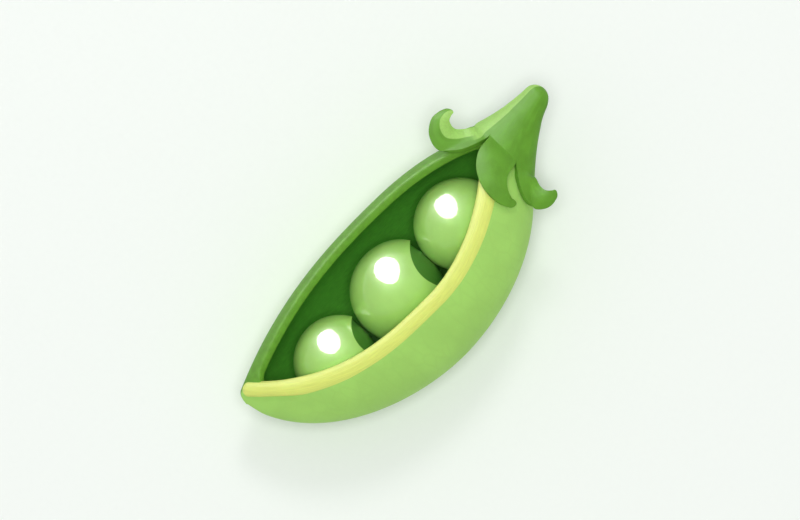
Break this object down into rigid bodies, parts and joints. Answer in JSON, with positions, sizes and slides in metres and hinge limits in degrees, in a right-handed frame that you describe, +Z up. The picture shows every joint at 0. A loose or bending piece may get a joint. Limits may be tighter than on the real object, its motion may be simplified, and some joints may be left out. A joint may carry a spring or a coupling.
{
  "type": "pea pod",
  "caption": "Opened garden pea pod lying on its belly, with round peas in a row, a seed strand on one lip, a curled calyx and a short stem.",
  "frame": {"origin": "middle of the bounding box's underside, on the surface that the pod lies on", "axes": "+X along the pod towards the stem, +Y towards the rear valve, +Z up out of the opening"},
  "size_m": [0.0476, 0.021, 0.0152],
  "materials": {
    "pod_skin": "waxy satin plant skin, faint net of veins",
    "seed_strand": "pale fibrous satin strand",
    "pea_skin": "glossy, finely pitted seed skin",
    "seed_stalk": "moist pale satin stalk",
    "calyx_skin": "satin leafy skin with veins, and a pale strip along the rear flank",
    "stem_skin": "satin ribbed stem skin, with a pale strip along the rear flank"
  },
  "bodies": {
    "root": {"pod_wall": "pod_skin", "lip_strand": "seed_strand", "pea_blossom_end": "pea_skin", "pea_middle": "pea_skin", "pea_stem_end": "pea_skin", "funicle_blossom_end": "seed_stalk", "funicle_middle": "seed_stalk", "funicle_stem_end": "seed_stalk", "calyx": "calyx_skin", "stem": "stem_skin"}
  },
  "joints": []
}
